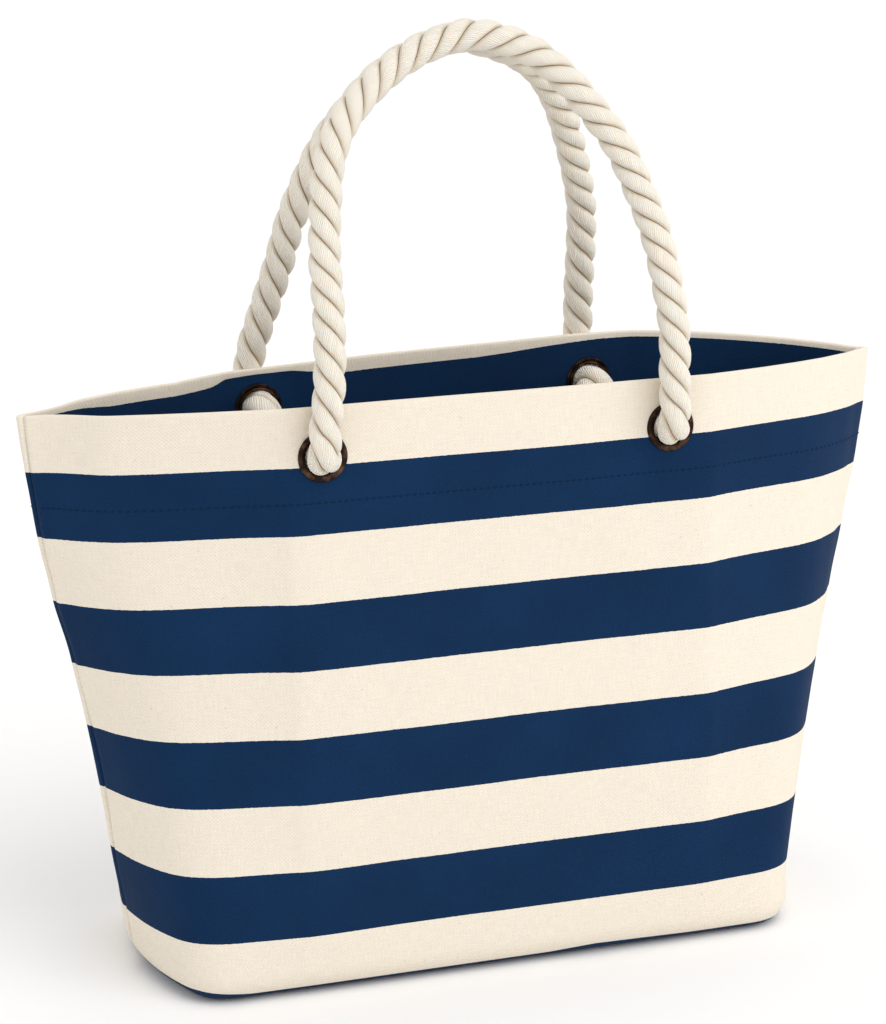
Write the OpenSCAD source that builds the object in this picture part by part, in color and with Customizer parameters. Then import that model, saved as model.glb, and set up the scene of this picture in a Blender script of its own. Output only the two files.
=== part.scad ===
// Striped canvas beach bag with two rope handles held in metal eyelets.
// Millimetres. Origin at the centre of the base on the ground, +Z up, +X to the right,
// -Y towards the front panel.

/* [Body] */
// Width of the bag between the side seams at the rim
bag_w = 540; // [480:2:640]
// Height of the rim above the ground
bag_h = 353; // [296:1:424]
// Depth of the open mouth between the front and back panels
rim_open = 130; // [110:2:156]
// Length of the base between the outermost points of its ends
base_l = 426; // [356:2:510]
// Depth of the base between the front and back walls
base_d = 176; // [148:2:210]
// How far the rim sinks at the side seams
rim_drop = 7; // [0:1:12]
// Radius of the soft fold where the walls meet the base
edge_r = 18; // [15:1:22]
// How far the wall draws in beside each corner at mid height
corner_soft = 8; // [0:1:12]

/* [Cloth] */
// Thickness of one layer of canvas
canvas_t = 1.6; // [1.2:0.1:2]
// Depth of the hem folded down inside the rim
hem_depth = 60; // [50:1:70]
// Width of the seam allowances inside the bag
seam_allow = 11; // [9:0.5:13]
// Thickness of the tape that binds the seam allowances
tape_t = 1; // [0.8:0.1:1.4]

/* [Eyelets] */
// Distance between the two eyelets of one panel
eyelet_spacing = 216; // [180:2:232]
// Sideways offset of all four eyelets
eyelet_shift = -3.4; // [-6:0.2:6]
// Distance of the eyelet centres below the rim, along the wall
eyelet_drop = 29; // [25:1:34]
// Radius of the hole through the eyelet
eyelet_hole_r = 10.6; // [10.3:0.1:12]
// Wall thickness of the eyelet barrel
barrel_t = 0.7; // [0.5:0.1:1]
// Radius of the outer ring of the eyelet
ring_r = 14.9; // [14.4:0.1:18]
// Height of the domed ring above the canvas
ring_h = 1.6; // [1.2:0.1:1.8]
// Thickness of the washer inside the bag
washer_t = 1; // [0.8:0.1:1.4]

/* [Rope] */
// Diameter of the handle rope
rope_d = 20; // [16:0.5:20]
// Height of the handle tops above their swing axes
handle_rise = 229; // [190:2:280]
// Radius of the ring that stands for each knot, to the middle of the rope
knot_r = 11; // [10.5:0.1:13]
// Length of rope left below each knot
tail_l = 26; // [20:1:32]
// Length of the whipping round each rope end
whip_l = 9; // [6:1:12]
// Thickness of the whipping twine
whip_t = 0.9; // [0.6:0.1:1.2]

/* [Hidden] */
// running gap between the swinging rope and the fixed rope
swing_gap = 0.3;
// gap between the eyelet barrel and the canvas it is set in
barrel_gap = 0.05;
// gap between the domed ring and the rope that turns up beside it
ring_gap = 0.9;
// half of the gap between the two handle tops when they lean together
lean_gap = 0.6;
rope_r = rope_d / 2;
wall_run = (base_d - rim_open) / 2;
tilt = atan(wall_run / bag_h);
ct = canvas_t * cos(tilt);
barrel_r = eyelet_hole_r + barrel_t;
swing_out = ring_h + ring_gap + rope_r;
eyelet_y = rim_open / 2 + eyelet_drop * sin(tilt);
eyelet_z = bag_h - eyelet_drop * cos(tilt);
swing_y = eyelet_y + swing_out * cos(tilt);
swing_z = eyelet_z + swing_out * sin(tilt);

navy = [0.09, 0.16, 0.3];
cream = [0.92, 0.87, 0.79];
rope_c = [0.88, 0.83, 0.74];
bronze = [0.24, 0.18, 0.14];

// quarter plan of the rim and of the base, as shares of half the length and half the depth
rim_x = [0, 0.119, 0.237, 0.356, 0.474, 0.519, 0.563, 0.607, 0.652, 0.696, 0.741, 0.785,
         0.83, 0.874, 0.919, 0.959, 1];
rim_y = [1, 1, 1, 1, 1, 0.969, 0.923, 0.869, 0.808, 0.738, 0.662, 0.577,
         0.485, 0.377, 0.262, 0.138, 0];
base_x = [0, 0.146, 0.291, 0.437, 0.582, 0.638, 0.695, 0.751, 0.808, 0.86, 0.903, 0.934,
          0.954, 0.972, 0.986, 0.996, 1];
base_y = [1, 1, 1, 1, 1, 1, 1, 1, 0.996, 0.968, 0.907, 0.81,
          0.685, 0.535, 0.375, 0.193, 0];
soft_y = [0, 0, 0, 0, 0, 0.3, 0.6, 0.85, 1, 1, 0.85, 0.6, 0.35, 0.15, 0.05, 0, 0];
quart = 16;
loop_n = 4 * quart;
wall_rows = 8;
fold_rows = 6;

function step_of(k) = let (q = floor(k / quart), m = k % quart) (q % 2 == 0) ? m : quart - m;
function side_x(k) = (k <= quart || k >= 3 * quart) ? 1 : -1;
function loop_x(k) = (k < 2 * quart) ? 1 : -1;
function loop_y(k) = (k < quart || k >= 3 * quart) ? -1 : 1;
function wrap(k) = (k + loop_n) % loop_n;

// one point of the outline at station k; w runs from 0 at the rim to 1 at the ground
function outline(k, w) =
    let (i = step_of(k))
    [loop_x(k) * (bag_w / 2 * rim_x[i] * (1 - w) + base_l / 2 * base_x[i] * w),
     loop_y(k) * (rim_open / 2 * rim_y[i] * (1 - w) + base_d / 2 * base_y[i] * w
                  - corner_soft * soft_y[i] * 4 * w * (1 - w))];

// the outline moved inwards by d
function inset(k, w, d) =
    let (p = outline(k, w),
         t = outline(wrap(k + 1), w) - outline(wrap(k - 1), w),
         n = [t[1], -t[0]] / norm(t))
    p - d * n;

function rim_z(k) =
    bag_h - rim_drop * pow(max(0, (rim_x[step_of(k)] - 0.474) / 0.526), 1.5);

// rings of points from above the rim down to the base, for a skin d inside the outside
function wall_ring(d, a, lift) =
    [for (k = [0:loop_n - 1])
        let (z = (rim_z(k) + lift) * (1 - a) + edge_r * a, p = inset(k, 1 - z / bag_h, d))
        [p[0], p[1], z]];

function fold_ring(d, f) =
    [for (k = [0:loop_n - 1])
        let (r = edge_r - d, z = edge_r - r * sin(f), p = inset(k, 1 - z / bag_h, d + r * (1 - cos(f))))
        [p[0], p[1], z]];

function band_ring(d, drop) =
    [for (k = [0:loop_n - 1])
        let (z = rim_z(k) - drop, p = inset(k, 1 - z / bag_h, d))
        [p[0], p[1], z]];

function side_faces(rows) =
    [for (r = [0:rows - 2], k = [0:loop_n - 1], h = [0, 1])
        let (a = r * loop_n + k, b = r * loop_n + wrap(k + 1), c = b + loop_n, d = a + loop_n)
        (h == 0) ? [a, b, c] : [a, c, d]];

function cap_quads(o) =
    concat([for (k = [0:quart - 2]) [o + k, o + 2 * quart - k, o + 2 * quart - k - 1, o + k + 1]],
           [[o + quart - 1, o + quart + 1, o + quart]],
           [for (j = [0:quart - 2]) [o + wrap(-j), o + wrap(-j - 1), o + 2 * quart + j + 1, o + 2 * quart + j]],
           [[o + 3 * quart + 1, o + 3 * quart, o + 3 * quart - 1]]);

function turned(f) = [for (i = [len(f) - 1:-1:0]) f[i]];

// closed solid through a list of rings, top ring first
module stack(rings) {
    rows = len(rings);
    pts = [for (r = rings) each r];
    bottom = [for (f = cap_quads((rows - 1) * loop_n)) turned(f)];
    polyhedron(points = pts, faces = concat(side_faces(rows), cap_quads(0), bottom), convexity = 6);
}

module tub(d, lift) {
    stack(concat([for (j = [0:wall_rows]) wall_ring(d, j / wall_rows, lift)],
                 [for (j = [1:fold_rows]) fold_ring(d, 90 * j / fold_rows)]));
}

// x of the side seam at height z
function tip_x(z) = bag_w / 2 * z / bag_h + base_l / 2 * (1 - z / bag_h);

hem_low = bag_h - rim_drop - hem_depth;
side_low = edge_r + 3;
fin_in = edge_r - 2.5;

// seam allowance down one side seam, standing inwards; from and to are distances from the seam
module side_strip(from, to, half_t, low, high) {
    rotate([90, 0, 0])
        translate([0, 0, -half_t])
            linear_extrude(2 * half_t)
                polygon([[tip_x(low) - to, low], [tip_x(low) - from, low],
                         [tip_x(high) - from, high], [tip_x(high) - to, high]]);
}

// upright fin that follows one end of the base
module end_fin(from, to, low, high) {
    w = 1 - low / bag_h;
    translate([0, 0, low])
        linear_extrude(high - low)
            polygon(concat([for (k = [quart - 4:quart + 4]) inset(k, w, from)],
                           [for (k = [quart + 4:-1:quart - 4]) inset(k, w, to)]));
}

module allowances() {
    for (s = [0, 1]) {
        mirror([s, 0, 0]) {
            side_strip(2, 2 + seam_allow, ct, side_low, hem_low + 2);
            end_fin(fin_in, fin_in + 2 * canvas_t, canvas_t - 0.4, canvas_t + seam_allow);
        }
    }
    translate([-base_l / 2 + fin_in + 2, -ct, canvas_t - 0.4])
        cube([base_l - 2 * fin_in - 4, 2 * ct, seam_allow + 0.4]);
}

module shell() {
    difference() {
        tub(0, 0);
        tub(canvas_t, 8);
    }
    difference() {
        stack([for (j = [0:4]) band_ring(canvas_t - 0.1, hem_depth * j / 4)]);
        stack([for (j = [0:4]) band_ring(2 * canvas_t, -5 + (hem_depth + 10) * j / 4)]);
    }
    allowances();
}

// places something on the front wall, x across and drop below the rim; local -Y faces outwards
module on_wall(x, drop) {
    translate([x, -rim_open / 2, bag_h])
        rotate([-tilt, 0, 0])
            translate([0, 0, -drop])
                children();
}

module eyelet_bores(shift) {
    for (s = [-1, 1])
        on_wall(s * eyelet_spacing / 2 + shift, eyelet_drop)
            rotate([90, 0, 0])
                cylinder(h = 40, r = barrel_r + barrel_gap, center = true, $fn = 96);
}

module half_shell(shift) {
    difference() {
        intersection() {
            shell();
            translate([-bag_w, -bag_w, -10])
                cube([2 * bag_w, bag_w, bag_h + 40]);
        }
        eyelet_bores(shift);
    }
}

module front_panel() {
    color(navy) half_shell(eyelet_shift);
}

module back_panel() {
    color(navy) rotate([0, 0, 180]) half_shell(-eyelet_shift);
}

module side_tape() {
    difference() {
        side_strip(2 + seam_allow - 6, 2 + seam_allow + tape_t, ct + tape_t, side_low + 1, hem_low - 1);
        side_strip(0, 2 + seam_allow, ct, side_low - 5, hem_low + 5);
    }
}

module left_side_binding() {
    color(navy) mirror([1, 0, 0]) side_tape();
}

module right_side_binding() {
    color(navy) side_tape();
}

module end_tape() {
    w = 1 - (canvas_t + 4) / bag_h;
    difference() {
        translate([0, 0, canvas_t + 4])
            linear_extrude(seam_allow - 4 + tape_t)
                polygon(concat([for (k = [quart - 3:quart + 3]) inset(k, w, fin_in - tape_t)],
                               [for (k = [quart + 3:-1:quart - 3])
                                   inset(k, w, fin_in + 2 * canvas_t + tape_t)]));
        end_fin(fin_in, fin_in + 2 * canvas_t, canvas_t - 0.4, canvas_t + seam_allow);
        translate([0, -ct, 0])
            cube([base_l / 2 - fin_in - canvas_t, 2 * ct, canvas_t + seam_allow]);
    }
}

module left_corner_binding() {
    color(navy) mirror([1, 0, 0]) end_tape();
}

module right_corner_binding() {
    color(navy) end_tape();
}

module base_seam_binding() {
    l = base_l - 2 * (fin_in + 2 * canvas_t + tape_t + 3);
    color(navy)
        difference() {
            translate([-l / 2, -ct - tape_t, canvas_t + 4])
                cube([l, 2 * (ct + tape_t), seam_allow - 4 + tape_t]);
            translate([-l, -ct, 0])
                cube([2 * l, 2 * ct, canvas_t + seam_allow]);
        }
}

// side view of the domed ring, the barrel and the rolled lip, turned about its axis
module eyelet_shape() {
    mid = (eyelet_hole_r + ring_r) / 2;
    half = (ring_r - eyelet_hole_r) / 2;
    back = 2 * ct + washer_t;
    rotate([90, 0, 0])
        rotate_extrude($fn = 96)
            polygon(concat([[eyelet_hole_r, -back - 0.7], [barrel_r + 2, -back - 0.7],
                            [barrel_r + 2, -back], [barrel_r, -back], [barrel_r, 0], [ring_r, 0]],
                           [for (a = [0:15:180])
                               [mid + half * cos(a), 0.3 + (ring_h - 0.3) * sin(a)]]));
}

module washer_shape() {
    translate([0, 2 * ct, 0])
        rotate([-90, 0, 0])
            difference() {
                cylinder(h = washer_t, r = ring_r - 0.4, $fn = 96);
                translate([0, 0, -1])
                    cylinder(h = washer_t + 2, r = barrel_r + barrel_gap, $fn = 96);
            }
}

knot_in = 2 * ct + washer_t + 0.7 + rope_r + 0.4;
tail_low = -2 * knot_r - tail_l;

// rope through the eyelet, the knot that hangs inside below it, and the short tail
module knot_shape() {
    rotate([90, 0, 0])
        cylinder(h = 2 * (swing_out - rope_r - swing_gap), r = rope_r, center = true, $fn = 64);
    rotate([-90, 0, 0])
        cylinder(h = knot_in, r = rope_r, $fn = 64);
    translate([0, knot_in, -knot_r])
        rotate([90, 0, 0]) {
            cylinder(h = 1.2 * rope_r, r = 0.6 * knot_r, center = true, $fn = 64);
            rotate_extrude($fn = 64)
                translate([knot_r, 0])
                    circle(r = rope_r, $fn = 64);
        }
    translate([0, knot_in, tail_low])
        cylinder(h = tail_l, r = rope_r - whip_t, $fn = 64);
}

module whipping_shape() {
    translate([0, knot_in, tail_low + 4])
        difference() {
            cylinder(h = whip_l, r = rope_r, $fn = 64);
            translate([0, 0, -1])
                cylinder(h = whip_l + 2, r = rope_r - whip_t, $fn = 64);
        }
}

module front_at(s) {
    on_wall(s * eyelet_spacing / 2 + eyelet_shift, eyelet_drop) children();
}

module rear_at(s) {
    rotate([0, 0, 180]) on_wall(-s * eyelet_spacing / 2 - eyelet_shift, eyelet_drop) children();
}

module front_left_eyelet() { color(bronze) front_at(-1) eyelet_shape(); }
module front_right_eyelet() { color(bronze) front_at(1) eyelet_shape(); }
module rear_left_eyelet() { color(bronze) rear_at(-1) eyelet_shape(); }
module rear_right_eyelet() { color(bronze) rear_at(1) eyelet_shape(); }

module front_left_washer() { color(bronze) front_at(-1) washer_shape(); }
module front_right_washer() { color(bronze) front_at(1) washer_shape(); }
module rear_left_washer() { color(bronze) rear_at(-1) washer_shape(); }
module rear_right_washer() { color(bronze) rear_at(1) washer_shape(); }

module front_left_knot() { color(rope_c) front_at(-1) knot_shape(); }
module front_right_knot() { color(rope_c) front_at(1) knot_shape(); }
module rear_left_knot() { color(rope_c) rear_at(-1) knot_shape(); }
module rear_right_knot() { color(rope_c) rear_at(1) knot_shape(); }

module front_left_whipping() { color(cream) front_at(-1) whipping_shape(); }
module front_right_whipping() { color(cream) front_at(1) whipping_shape(); }
module rear_left_whipping() { color(cream) rear_at(-1) whipping_shape(); }
module rear_right_whipping() { color(cream) rear_at(1) whipping_shape(); }

// handle curves as shares: x of half the eyelet spacing, lean towards the middle, rise
front_curve = [[-1, 0, 0], [-1.017, 0.02, 0.07], [-0.994, 0.04, 0.14], [-0.972, 0.09, 0.26],
               [-0.963, 0.17, 0.38], [-0.958, 0.28, 0.5], [-0.928, 0.4, 0.61], [-0.878, 0.53, 0.72],
               [-0.768, 0.68, 0.81], [-0.578, 0.82, 0.89], [-0.368, 0.93, 0.95],
               [-0.168, 0.985, 0.985], [0.031, 1, 1], [0.221, 0.98, 0.98], [0.361, 0.93, 0.95],
               [0.511, 0.82, 0.89], [0.641, 0.68, 0.81], [0.761, 0.53, 0.72], [0.851, 0.4, 0.61],
               [0.921, 0.28, 0.5], [0.961, 0.17, 0.38], [0.988, 0.09, 0.26], [0.983, 0.04, 0.14],
               [0.983, 0.02, 0.07], [1, 0, 0]];
rear_curve = [[-1, 0, 0], [-1.02, 0.02, 0.07], [-1, 0.04, 0.14], [-0.928, 0.09, 0.26],
              [-0.858, 0.17, 0.38], [-0.808, 0.28, 0.5], [-0.738, 0.4, 0.61], [-0.648, 0.53, 0.72],
              [-0.538, 0.68, 0.81], [-0.418, 0.82, 0.89], [-0.268, 0.93, 0.95], [-0.118, 0.985, 0.985],
              [0.031, 1, 1], [0.202, 0.98, 0.98], [0.362, 0.93, 0.95], [0.531, 0.83, 0.895],
              [0.672, 0.68, 0.81], [0.772, 0.53, 0.72], [0.862, 0.4, 0.61], [0.931, 0.28, 0.5],
              [0.961, 0.17, 0.38], [0.971, 0.09, 0.26], [0.981, 0.04, 0.14], [0.992, 0.02, 0.07],
              [1, 0, 0]];
rope_sides = 12;

function rope_point(c) = [eyelet_spacing / 2 * c[0] + eyelet_shift,
                          -swing_y + (swing_y - rope_r - lean_gap) * c[1],
                          swing_z + handle_rise * c[2]];

// unit vector
function unit(v) = v / norm(v);

// rings round a curve, with a half ball at each end
function rope_rings(pts) =
    let (n = len(pts),
         dirs = [for (i = [0:n - 1]) unit(pts[min(n - 1, i + 1)] - pts[max(0, i - 1)])],
         side = [for (d = dirs) unit(cross(d, [0, -1, 0.3]))],
         up = [for (i = [0:n - 1]) cross(side[i], dirs[i])])
    [for (i = [-3:n + 2])
        let (j = min(n - 1, max(0, i)),
             e = (i < 0) ? i : (i > n - 1) ? i - n + 1 : 0,
             r = rope_r * cos(28 * abs(e)),
             c = pts[j] + dirs[j] * rope_r * sin(28 * abs(e)) * sign(e))
        [for (k = [0:rope_sides - 1])
            let (a = 360 * k / rope_sides)
            c + r * (cos(a) * side[j] + sin(a) * up[j])]];

module rope(pts) {
    rings = rope_rings(pts);
    rows = len(rings);
    flat = [for (r = rings) each r];
    sides = [for (r = [0:rows - 2], k = [0:rope_sides - 1], h = [0, 1])
                let (a = r * rope_sides + k, b = r * rope_sides + (k + 1) % rope_sides,
                     c = b + rope_sides, d = a + rope_sides)
                (h == 0) ? [a, c, b] : [a, d, c]];
    first = [for (k = [0:rope_sides - 1]) k];
    last = [for (k = [rope_sides - 1:-1:0]) (rows - 1) * rope_sides + k];
    polyhedron(points = flat, faces = concat(sides, [first, last]), convexity = 6);
}

module front_handle_rope() {
    color(rope_c) rope([for (c = front_curve) rope_point(c)]);
}

module rear_handle_rope() {
    color(rope_c)
        rotate([0, 0, 180])
            rope([for (c = rear_curve) let (p = rope_point(c)) [-p[0], p[1], p[2]]]);
}

front_panel();
back_panel();
left_side_binding();
right_side_binding();
left_corner_binding();
right_corner_binding();
base_seam_binding();
front_left_eyelet();
front_right_eyelet();
rear_left_eyelet();
rear_right_eyelet();
front_left_washer();
front_right_washer();
rear_left_washer();
rear_right_washer();
front_left_knot();
front_right_knot();
rear_left_knot();
rear_right_knot();
front_left_whipping();
front_right_whipping();
rear_left_whipping();
rear_right_whipping();
front_handle_rope();
rear_handle_rope();
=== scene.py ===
"""A striped canvas beach bag with two laid cotton rope handles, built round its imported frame.

Sizes are in millimetres inside the classes and become metres as each mesh is finished.
"""

import logging
import math
from dataclasses import dataclass, field
from enum import Enum

import bmesh
import bpy
import numpy as np
from mathutils import Matrix, Vector, noise


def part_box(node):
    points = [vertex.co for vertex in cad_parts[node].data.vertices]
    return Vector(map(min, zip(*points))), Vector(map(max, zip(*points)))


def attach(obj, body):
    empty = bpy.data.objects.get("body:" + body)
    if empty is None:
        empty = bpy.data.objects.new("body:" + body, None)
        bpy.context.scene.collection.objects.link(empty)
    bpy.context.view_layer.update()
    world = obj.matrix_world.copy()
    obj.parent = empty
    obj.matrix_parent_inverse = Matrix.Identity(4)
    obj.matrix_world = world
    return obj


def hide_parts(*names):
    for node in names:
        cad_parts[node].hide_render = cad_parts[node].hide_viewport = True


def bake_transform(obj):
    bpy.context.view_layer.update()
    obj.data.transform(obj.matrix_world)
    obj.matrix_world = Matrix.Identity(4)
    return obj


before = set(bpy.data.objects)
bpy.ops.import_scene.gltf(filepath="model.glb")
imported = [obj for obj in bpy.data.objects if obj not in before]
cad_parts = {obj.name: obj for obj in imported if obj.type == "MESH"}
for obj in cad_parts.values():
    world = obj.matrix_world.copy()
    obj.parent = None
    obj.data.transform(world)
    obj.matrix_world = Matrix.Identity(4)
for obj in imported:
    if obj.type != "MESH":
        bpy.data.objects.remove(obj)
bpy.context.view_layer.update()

MM = 0.001
LOG = logging.getLogger("beach_bag")

Array = np.ndarray
BMesh = bmesh.types.BMesh
Material = bpy.types.Material
Node = bpy.types.Node
Piece = bpy.types.Object
Socket = bpy.types.NodeSocket
Tree = bpy.types.NodeTree
Triple = tuple[Array, Array, Array]


class Face(Enum):
    """The two walls that carry a handle; the value is the sign of Y outwards."""

    FRONT = -1
    REAR = 1


class End(Enum):
    """The two ends of the bag; the value is the sign of X."""

    LEFT = -1
    RIGHT = 1


# small helpers


def linear(hex_colour: str, alpha: float = 1.0) -> tuple[float, float, float, float]:
    """Turns an sRGB hex colour into linear red, green, blue and alpha."""
    digits = hex_colour.lstrip("#")
    parts = [int(digits[i:i + 2], 16) / 255 for i in (0, 2, 4)]
    red, green, blue = (c / 12.92 if c <= 0.04045 else ((c + 0.055) / 1.055) ** 2.4 for c in parts)
    return red, green, blue, alpha


def smooth(low: float, high: float, x: Array) -> Array:
    """Rises smoothly from 0 at low to 1 at high."""
    t = np.clip((x - low) / (high - low), 0, 1)
    return t * t * (3 - 2 * t)


def lengths(line: Array) -> Array:
    """Distance along a line at each of its points."""
    return np.concatenate([[0], np.cumsum(np.linalg.norm(np.diff(line, axis=0), axis=1))])


def unit(rows: Array) -> Array:
    """Makes each row one long."""
    return rows / np.linalg.norm(rows, axis=1)[:, None]


def through(points: Array, spacing: float) -> Array:
    """Draws a smooth line through points and spaces points evenly along it.

    Args:
        points: The points to pass through, one row each.
        spacing: The distance between the points of the answer.

    Returns:
        The points of the line.
    """
    p = np.vstack([2 * points[0] - points[1], points, 2 * points[-1] - points[-2]])
    knots = np.concatenate([[0], np.cumsum(np.sqrt(np.linalg.norm(np.diff(p, axis=0), axis=1)))])
    fine = []
    for i in range(1, len(p) - 2):
        t = np.linspace(knots[i], knots[i + 1], 24, endpoint=False)[:, None]
        k0, k1, k2, k3 = knots[i - 1:i + 3]
        a = [((k_b - t) * q + (t - k_a) * r) / (k_b - k_a)
             for k_a, k_b, q, r in ((k0, k1, p[i - 1], p[i]), (k1, k2, p[i], p[i + 1]),
                                    (k2, k3, p[i + 1], p[i + 2]))]
        b = [((k2 - t) * a[0] + (t - k0) * a[1]) / (k2 - k0),
             ((k3 - t) * a[1] + (t - k1) * a[2]) / (k3 - k1)]
        fine.append(((k2 - t) * b[0] + (t - k1) * b[1]) / (k2 - k1))
    line = np.vstack([*fine, points[-1:]])
    along = lengths(line)
    at = np.linspace(0, along[-1], max(2, round(along[-1] / spacing) + 1))
    return np.stack([np.interp(at, along, line[:, i]) for i in range(3)], axis=1)


def arc(centre: tuple[float, float], radius: float, start: float, end: float, n: int) -> list[tuple]:
    """Points on an arc, with angles in degrees."""
    angles = [math.radians(start + (end - start) * i / n) for i in range(n + 1)]
    return [(centre[0] + radius * math.cos(a), centre[1] + radius * math.sin(a)) for a in angles]


def along_line(line: Array) -> Triple:
    """The directions of a line, and two unit vectors square to each that don't twist about it."""
    heading = unit(np.gradient(line, axis=0))
    side = np.zeros_like(line)
    first = np.cross(heading[0], [1.0, 0.0, 0.0])
    if np.linalg.norm(first) < 0.2:
        first = np.cross(heading[0], [0.0, 1.0, 0.0])
    side[0] = first / np.linalg.norm(first)
    for i in range(1, len(line)):
        v = side[i - 1] - heading[i] * (side[i - 1] @ heading[i])
        side[i] = v / np.linalg.norm(v)
    return heading, side, np.cross(heading, side)


def grid_mesh(across: int, down: int) -> tuple[BMesh, Array, Array]:
    """Starts a mesh from a flat grid.

    Args:
        across: Number of faces along X.
        down: Number of faces along Y.

    Returns:
        The mesh, and each vertex's column and row number.
    """
    bm = bmesh.new()
    bmesh.ops.create_grid(bm, x_segments=across, y_segments=down, size=0.5)
    flat = np.array([v.co[:2] for v in bm.verts]) + 0.5
    return bm, np.rint(flat[:, 0] * across).astype(int), np.rint(flat[:, 1] * down).astype(int)


def place(bm: BMesh, points: Array) -> None:
    """Moves the vertices of a mesh to points in millimetres."""
    for vertex, point in zip(bm.verts, points * MM):
        vertex.co = point


def finish_mesh(bm: BMesh, name: str, material: Material, flat_shaded: bool = False) -> Piece:
    """Makes an object of a finished mesh, with its origin at the frame's origin.

    Args:
        bm: The mesh, which is freed.
        name: The piece's name.
        material: The finish that covers it.
        flat_shaded: True to leave faces flat.

    Returns:
        The new object.
    """
    mesh = bpy.data.meshes.new(name)
    bm.to_mesh(mesh)
    bm.free()
    mesh.shade_flat() if flat_shaded else mesh.shade_smooth()
    mesh.materials.append(material)
    piece = bpy.data.objects.new(name, mesh)
    bpy.context.scene.collection.objects.link(piece)
    return piece


def thicken(piece: Piece, thickness: float, offset: float) -> None:
    """Gives a piece of cloth its thickness, in millimetres."""
    solid = piece.modifiers.new("thickness", "SOLIDIFY")
    solid.thickness = thickness * MM
    solid.offset = offset


def hold(piece: Piece, body: str, slot: str, *nodes: str) -> Piece:
    """Rides a piece on a body, hides the nodes of the frame it stands for, and reports it."""
    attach(piece, body)
    if nodes:
        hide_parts(*nodes)
    LOG.info("%s: %d faces on %s", piece.name, len(piece.data.polygons), body)
    return piece


# shader nodes


def start_material(name: str, **values: object) -> tuple[Material, Tree, Node]:
    """Makes a material.

    Args:
        name: The real stuff it stands for.
        **values: Constants for the shader's sockets, with underscores for the spaces in their names.

    Returns:
        The material, its node tree and its shader.
    """
    material = bpy.data.materials.new(name)
    material.use_nodes = True
    shader = material.node_tree.nodes["Principled BSDF"]
    for socket, value in values.items():
        shader.inputs[socket.replace("_", " ")].default_value = value
    return material, material.node_tree, shader


def add(tree: Tree, kind: str, inputs: dict | None = None, **settings: object) -> Node:
    """Adds one shader node with its settings, values and links.

    Args:
        tree: The material's node tree.
        kind: The node's type name.
        inputs: Socket name or number to a value, or to an output socket to link from.
        **settings: Properties of the node.

    Returns:
        The new node.
    """
    node = tree.nodes.new(kind)
    for name, value in settings.items():
        setattr(node, name, value)
    for key, value in (inputs or {}).items():
        if isinstance(value, Socket):
            tree.links.new(value, node.inputs[key])
        else:
            node.inputs[key].default_value = value
    return node


def math_node(tree: Tree, operation: str, *values: object) -> Socket:
    """Adds a Math node, whose values are numbers or output sockets, and returns its result."""
    return add(tree, "ShaderNodeMath", dict(enumerate(values)), operation=operation).outputs[0]


def stretch(tree: Tree, where: Socket, scale: tuple[float, float, float]) -> Socket:
    """Adds a Mapping node that scales a place."""
    return add(tree, "ShaderNodeMapping", {"Vector": where, "Scale": scale}).outputs[0]


def speckle(tree: Tree, where: Socket, scale: float, detail: float) -> Socket:
    """Adds a Noise node and returns its 0 to 1 result."""
    return add(tree, "ShaderNodeTexNoise",
               {"Vector": where, "Scale": scale, "Detail": detail}).outputs[0]


def remap(tree: Tree, value: Socket, low: float, high: float, to_low: float, to_high: float) -> Socket:
    """Adds a Map Range node: low to high becomes to_low to to_high."""
    return add(tree, "ShaderNodeMapRange", {0: value, 1: low, 2: high, 3: to_low, 4: to_high}).outputs[0]


def mixed(tree: Tree, share: Socket, first: object, second: object) -> Socket:
    """Adds a colour Mix node between two colours or sockets."""
    return add(tree, "ShaderNodeMix", {0: share, 6: first, 7: second}, data_type="RGBA").outputs[2]


def tinted(tree: Tree, shader: Node, colour: object, level: Socket) -> None:
    """Gives the shader a colour that is multiplied by a level."""
    tint = add(tree, "ShaderNodeVectorMath", {0: colour, 1: level}, operation="MULTIPLY").outputs[0]
    tree.links.new(tint, shader.inputs["Base Color"])


def raised(tree: Tree, shader: Node, height: Socket, strength: float, depth: float) -> None:
    """Gives the shader a bump, with its depth in metres."""
    bump = add(tree, "ShaderNodeBump", {"Height": height, "Strength": strength, "Distance": depth})
    tree.links.new(bump.outputs[0], shader.inputs["Normal"])


# finishes


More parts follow.
